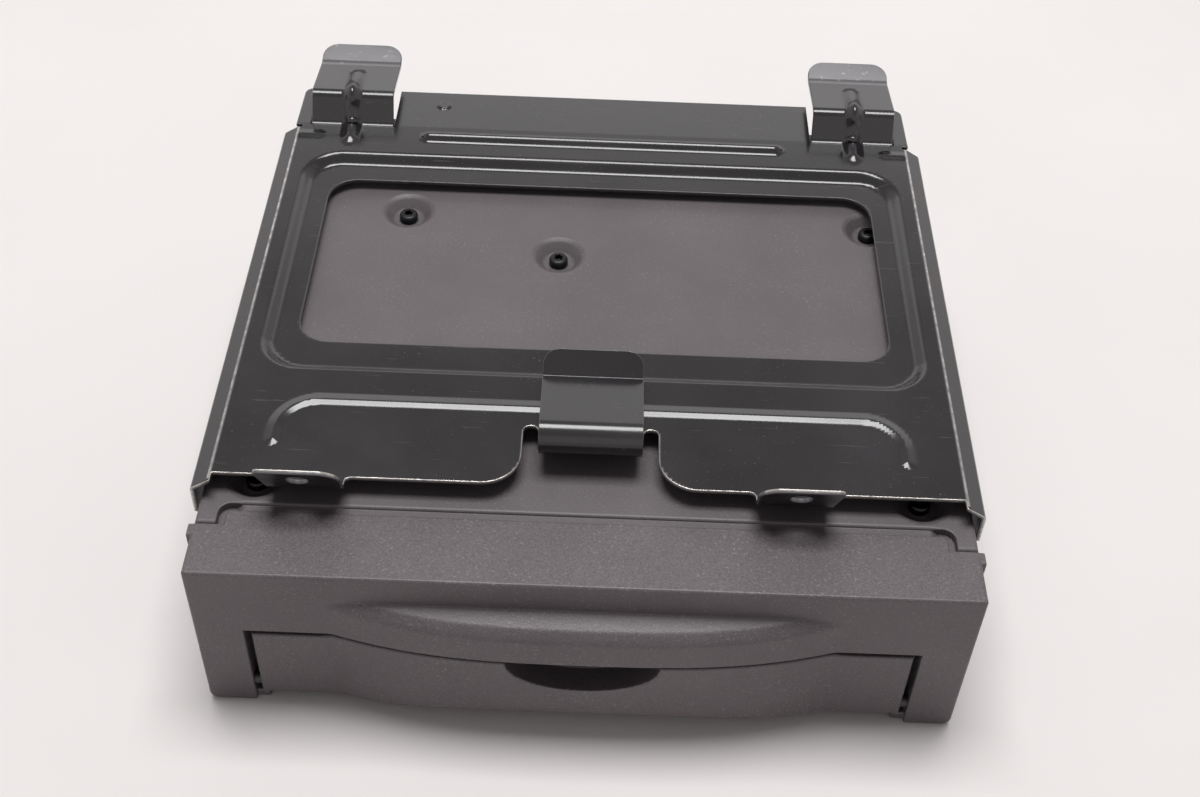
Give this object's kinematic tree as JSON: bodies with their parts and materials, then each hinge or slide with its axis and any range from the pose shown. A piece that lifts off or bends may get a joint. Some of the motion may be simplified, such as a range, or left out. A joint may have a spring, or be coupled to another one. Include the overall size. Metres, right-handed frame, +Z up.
{
  "type": "car disc reader",
  "caption": "Slot-loading car navigation disc reader: dark moulded housing hung from a pressed bracket, bulged front with a bottom-hinged flap.",
  "frame": {"origin": "centre of the bounding box on the surface that the reader stands on", "axes": "+Z up, the front with the flap faces -Y, the longest side runs along Y"},
  "size_m": [0.2046, 0.2196, 0.0716],
  "materials": {
    "dark_plastic": "fine grained",
    "black_plastic": "satin",
    "chip_plastic": "matt",
    "gear_plastic": "satin acetal",
    "white_plastic": "satin",
    "board_green": "solder mask",
    "felt": "short pile",
    "damper_rubber": "matt",
    "black_coat": "satin black coat on pressed steel",
    "black_screw": "black oxide",
    "zinc_steel": "zinc plated sheet",
    "bright_steel": "ground",
    "tin_pins": "tin plated",
    "brass_gear": "turned",
    "lens_glass": "coated"
  },
  "bodies": {
    "housing": {"fascia": "dark_plastic", "upper_housing": "dark_plastic", "lower_housing": "dark_plastic", "housing_screws": "black_screw", "bracket_screws": "black_screw", "mounting_bracket": "black_coat", "bracket_ears": "black_coat", "centre_clip": "black_coat", "rear_hooks": "black_coat", "slot_panel": "black_plastic", "slot_felts": "felt", "switch_board": "board_green", "shield_plate": "zinc_steel", "main_board": "board_green", "board_standoffs": "zinc_steel", "board_parts": "chip_plastic", "rear_connector": "white_plastic", "connector_pins": "tin_pins", "antenna_socket": "tin_pins", "ribbon_cable": "white_plastic", "mech_chassis": "zinc_steel", "mech_cover": "zinc_steel", "rubber_dampers": "damper_rubber", "damper_screws": "zinc_steel", "roller_bushes": "gear_plastic", "idler_pin": "bright_steel", "load_motor": "bright_steel", "upper_disc_guide": "black_plastic", "pickup_base": "zinc_steel", "spindle_motor": "bright_steel", "guide_rods": "bright_steel", "sled_motor": "bright_steel", "clamp_pin": "bright_steel"},
    "flap": {"flap": "dark_plastic"},
    "eject_button": {"eject_button": "black_plastic"},
    "load_roller": {"load_roller_shaft": "bright_steel", "roller_sleeves": "damper_rubber", "roller_gear": "gear_plastic"},
    "idler_gear": {"idler_gear": "gear_plastic"},
    "motor_pinion": {"motor_pinion": "brass_gear"},
    "turntable": {"turntable": "black_plastic"},
    "pickup_sled": {"pickup_sled": "chip_plastic", "pickup_lens": "lens_glass"},
    "lead_screw": {"lead_screw": "bright_steel"},
    "clamp_arm": {"clamp_arm": "zinc_steel"},
    "clamp_puck": {"clamp_puck": "gear_plastic"}
  },
  "joints": [
    {"name": "flap_hinge", "type": "hinge", "parent": "housing", "child": "flap", "pos_m": [0, -0.10022, 0.0075], "axis": [1, 0, 0], "range_deg": [0, 65]},
    {"name": "eject_press", "type": "slide", "parent": "housing", "child": "eject_button", "axis": [0, 1, 0], "range_m": [0, 0.0012], "stiffness_N_per_m": 300},
    {"name": "roller_spin", "type": "hinge", "parent": "housing", "child": "load_roller", "pos_m": [0, -0.06842, 0.0156], "axis": [1, 0, 0], "continuous": true},
    {"name": "idler_spin", "type": "hinge", "parent": "housing", "child": "idler_gear", "pos_m": [0.069, -0.0533, 0.0156], "axis": [1, 0, 0], "continuous": true},
    {"name": "pinion_spin", "type": "hinge", "parent": "housing", "child": "motor_pinion", "pos_m": [0.069, -0.04118, 0.0156], "axis": [1, 0, 0], "continuous": true},
    {"name": "turntable_spin", "type": "hinge", "parent": "housing", "child": "turntable", "pos_m": [0, -0.01242, 0.018], "axis": [0, 0, 1], "continuous": true},
    {"name": "sled_travel", "type": "slide", "parent": "housing", "child": "pickup_sled", "axis": [0, 1, 0], "range_m": [0, 0.034]},
    {"name": "screw_spin", "type": "hinge", "parent": "housing", "child": "lead_screw", "pos_m": [0.037, 0.00758, 0.0154], "axis": [0, 1, 0], "range_deg": [0, 4085]},
    {"name": "clamp_swing", "type": "hinge", "parent": "housing", "child": "clamp_arm", "pos_m": [0, 0.05108, 0.028], "axis": [1, 0, 0], "range_deg": [0, 2.5], "stiffness_Nm_per_rad": 0.1, "springref_deg": -17.19},
    {"name": "puck_spin", "type": "hinge", "parent": "clamp_arm", "child": "clamp_puck", "pos_m": [0, -0.01242, 0.026], "axis": [0, 0, 1], "continuous": true}
  ],
  "couplings": [
    {"joint": "idler_spin", "follows": "roller_spin", "ratio": -0.66667},
    {"joint": "pinion_spin", "follows": "roller_spin", "ratio": 2},
    {"joint": "screw_spin", "follows": "sled_travel", "rad_per_m": 2094.4}
  ]
}
